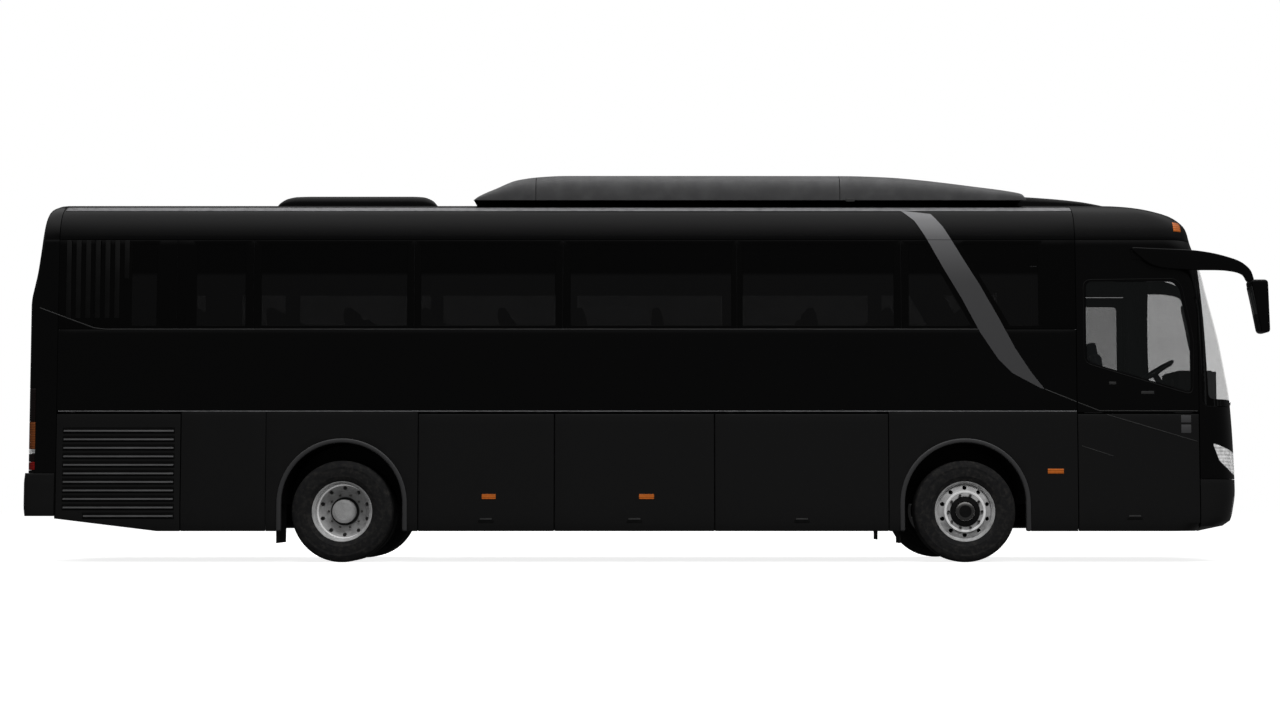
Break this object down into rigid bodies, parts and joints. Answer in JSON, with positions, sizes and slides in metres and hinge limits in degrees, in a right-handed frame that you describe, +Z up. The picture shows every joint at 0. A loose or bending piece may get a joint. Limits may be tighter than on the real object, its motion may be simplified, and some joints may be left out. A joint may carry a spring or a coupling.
{
  "type": "coach bus",
  "caption": "Two-axle high-floor touring coach with opening doors and lids, steered front wheels and twin rear wheels.",
  "frame": {"origin": "middle of the coach's bounding box on the floor, where the tyres stand", "axes": "+X to the front, +Y to the left side, +Z up"},
  "size_m": [12.486, 2.88, 3.975],
  "materials": {
    "body_black": "gloss",
    "roof_grey": "gloss",
    "stripe_grey": "satin",
    "dark_glass": "gloss",
    "clear_glass": "gloss",
    "frame_grey": "matt",
    "engine_iron": "rough",
    "floor_covering": "matt",
    "rim_silver": "satin",
    "tyre_rubber": "matt",
    "soft_rubber": "matt",
    "seat_fabric": "woven",
    "black_plastic": "grained",
    "lamp_clear": "gloss",
    "lamp_red": "gloss",
    "lamp_orange": "gloss"
  },
  "bodies": {
    "coach": {"bay_structure": "frame_grey", "front_frame": "frame_grey", "rear_frame": "frame_grey", "floor_deck": "floor_covering", "cab_floor": "floor_covering", "side_walls": "body_black", "roof_panel": "roof_grey", "roof_sides": "roof_grey", "front_roof_cap": "body_black", "front_mask": "body_black", "windscreen": "clear_glass", "front_quarter_panels": "body_black", "rear_mask": "body_black", "side_windows": "dark_glass", "driver_window": "clear_glass", "skirt_panels": "body_black", "wheel_arch_trims": "roof_grey", "stripe_panels": "stripe_grey", "headlamps": "lamp_clear", "tail_lamps": "lamp_red", "marker_lamps": "lamp_orange", "front_bumper": "body_black", "rear_bumper": "body_black", "air_conditioner": "roof_grey", "roof_vent": "roof_grey", "mirrors": "black_plastic", "wipers": "soft_rubber", "dashboard": "black_plastic", "driver_seat": "seat_fabric", "passenger_seats": "seat_fabric", "luggage_racks": "black_plastic", "engine_block": "engine_iron", "front_axle": "frame_grey", "rear_axle": "frame_grey", "mud_flaps": "soft_rubber"},
    "knuckle_right_body": {"knuckle_right": "frame_grey"},
    "knuckle_left_body": {"knuckle_left": "frame_grey"},
    "front_wheel_right": {"front_rim_right": "rim_silver", "front_tyre_right": "tyre_rubber"},
    "front_wheel_left": {"front_rim_left": "rim_silver", "front_tyre_left": "tyre_rubber"},
    "rear_wheels_right": {"rear_rims_right": "rim_silver", "rear_tyres_right": "tyre_rubber"},
    "rear_wheels_left": {"rear_rims_left": "rim_silver", "rear_tyres_left": "tyre_rubber"},
    "steering_wheel_body": {"steering_wheel": "black_plastic"},
    "entry_door": {"passenger_door": "body_black", "passenger_door_glass": "dark_glass"},
    "luggage_door_right_1_body": {"luggage_door_right_1": "body_black"},
    "luggage_door_right_2_body": {"luggage_door_right_2": "body_black"},
    "luggage_door_right_3_body": {"luggage_door_right_3": "body_black"},
    "engine_side_door_right_body": {"engine_side_door_right": "body_black"},
    "luggage_door_left_1_body": {"luggage_door_left_1": "body_black"},
    "luggage_door_left_2_body": {"luggage_door_left_2": "body_black"},
    "luggage_door_left_3_body": {"luggage_door_left_3": "body_black"},
    "engine_side_door_left_body": {"engine_side_door_left": "body_black"},
    "driver_side_flap_body": {"driver_side_flap": "body_black"},
    "engine_door_body": {"engine_door": "body_black"}
  },
  "joints": [
    {"name": "steer_right", "type": "hinge", "parent": "coach", "child": "knuckle_right_body", "pos_m": [3.212, -0.937, 0.507], "axis": [0, 0, 1], "range_deg": [-45, 45]},
    {"name": "front_wheel_right_spin", "type": "hinge", "parent": "knuckle_right_body", "child": "front_wheel_right", "pos_m": [3.212, -1.087, 0.507], "axis": [0, 1, 0], "continuous": true},
    {"name": "rear_wheels_right_spin", "type": "hinge", "parent": "coach", "child": "rear_wheels_right", "pos_m": [-3.018, -0.932, 0.507], "axis": [0, 1, 0], "continuous": true},
    {"name": "steer_left", "type": "hinge", "parent": "coach", "child": "knuckle_left_body", "pos_m": [3.212, 0.937, 0.507], "axis": [0, 0, 1], "range_deg": [-45, 45]},
    {"name": "front_wheel_left_spin", "type": "hinge", "parent": "knuckle_left_body", "child": "front_wheel_left", "pos_m": [3.212, 1.087, 0.507], "axis": [0, 1, 0], "continuous": true},
    {"name": "rear_wheels_left_spin", "type": "hinge", "parent": "coach", "child": "rear_wheels_left", "pos_m": [-3.018, 0.932, 0.507], "axis": [0, 1, 0], "continuous": true},
    {"name": "steering_wheel_turn", "type": "hinge", "parent": "coach", "child": "steering_wheel_body", "pos_m": [5.52, -0.64, 1.5], "axis": [-0.5299, 0, 0.848], "range_deg": [-810, 810]},
    {"name": "entry_door_swing", "type": "hinge", "parent": "coach", "child": "entry_door", "pos_m": [5.38, 1.244, 1.5], "axis": [0, 0, -1], "range_deg": [0, 90]},
    {"name": "luggage_door_right_1_lift", "type": "hinge", "parent": "coach", "child": "luggage_door_right_1_body", "pos_m": [-1.576, -1.244, 1.492], "axis": [-1, 0, 0], "range_deg": [0, 85]},
    {"name": "luggage_door_right_2_lift", "type": "hinge", "parent": "coach", "child": "luggage_door_right_2_body", "pos_m": [-0.0935, -1.244, 1.492], "axis": [-1, 0, 0], "range_deg": [0, 85]},
    {"name": "luggage_door_right_3_lift", "type": "hinge", "parent": "coach", "child": "luggage_door_right_3_body", "pos_m": [1.578, -1.244, 1.492], "axis": [-1, 0, 0], "range_deg": [0, 85]},
    {"name": "engine_side_door_right_lift", "type": "hinge", "parent": "coach", "child": "engine_side_door_right_body", "pos_m": [-5.253, -1.244, 1.492], "axis": [-1, 0, 0], "range_deg": [0, 85]},
    {"name": "luggage_door_left_1_lift", "type": "hinge", "parent": "coach", "child": "luggage_door_left_1_body", "pos_m": [-1.576, 1.244, 1.492], "axis": [1, 0, 0], "range_deg": [0, 85]},
    {"name": "luggage_door_left_2_lift", "type": "hinge", "parent": "coach", "child": "luggage_door_left_2_body", "pos_m": [-0.0935, 1.244, 1.492], "axis": [1, 0, 0], "range_deg": [0, 85]},
    {"name": "luggage_door_left_3_lift", "type": "hinge", "parent": "coach", "child": "luggage_door_left_3_body", "pos_m": [1.578, 1.244, 1.492], "axis": [1, 0, 0], "range_deg": [0, 85]},
    {"name": "engine_side_door_left_lift", "type": "hinge", "parent": "coach", "child": "engine_side_door_left_body", "pos_m": [-5.253, 1.244, 1.492], "axis": [1, 0, 0], "range_deg": [0, 85]},
    {"name": "driver_side_flap_lift", "type": "hinge", "parent": "coach", "child": "driver_side_flap_body", "pos_m": [4.948, -1.244, 1.492], "axis": [-1, 0, 0], "range_deg": [0, 85]},
    {"name": "engine_door_lift", "type": "hinge", "parent": "coach", "child": "engine_door_body", "pos_m": [-6.186, 0, 1.56], "axis": [0, 1, 0], "range_deg": [0, 80]}
  ],
  "couplings": [
    {"joint": "steer_left", "follows": "steer_right", "ratio": 1},
    {"joint": "steering_wheel_turn", "follows": "steer_right", "ratio": 18}
  ]
}
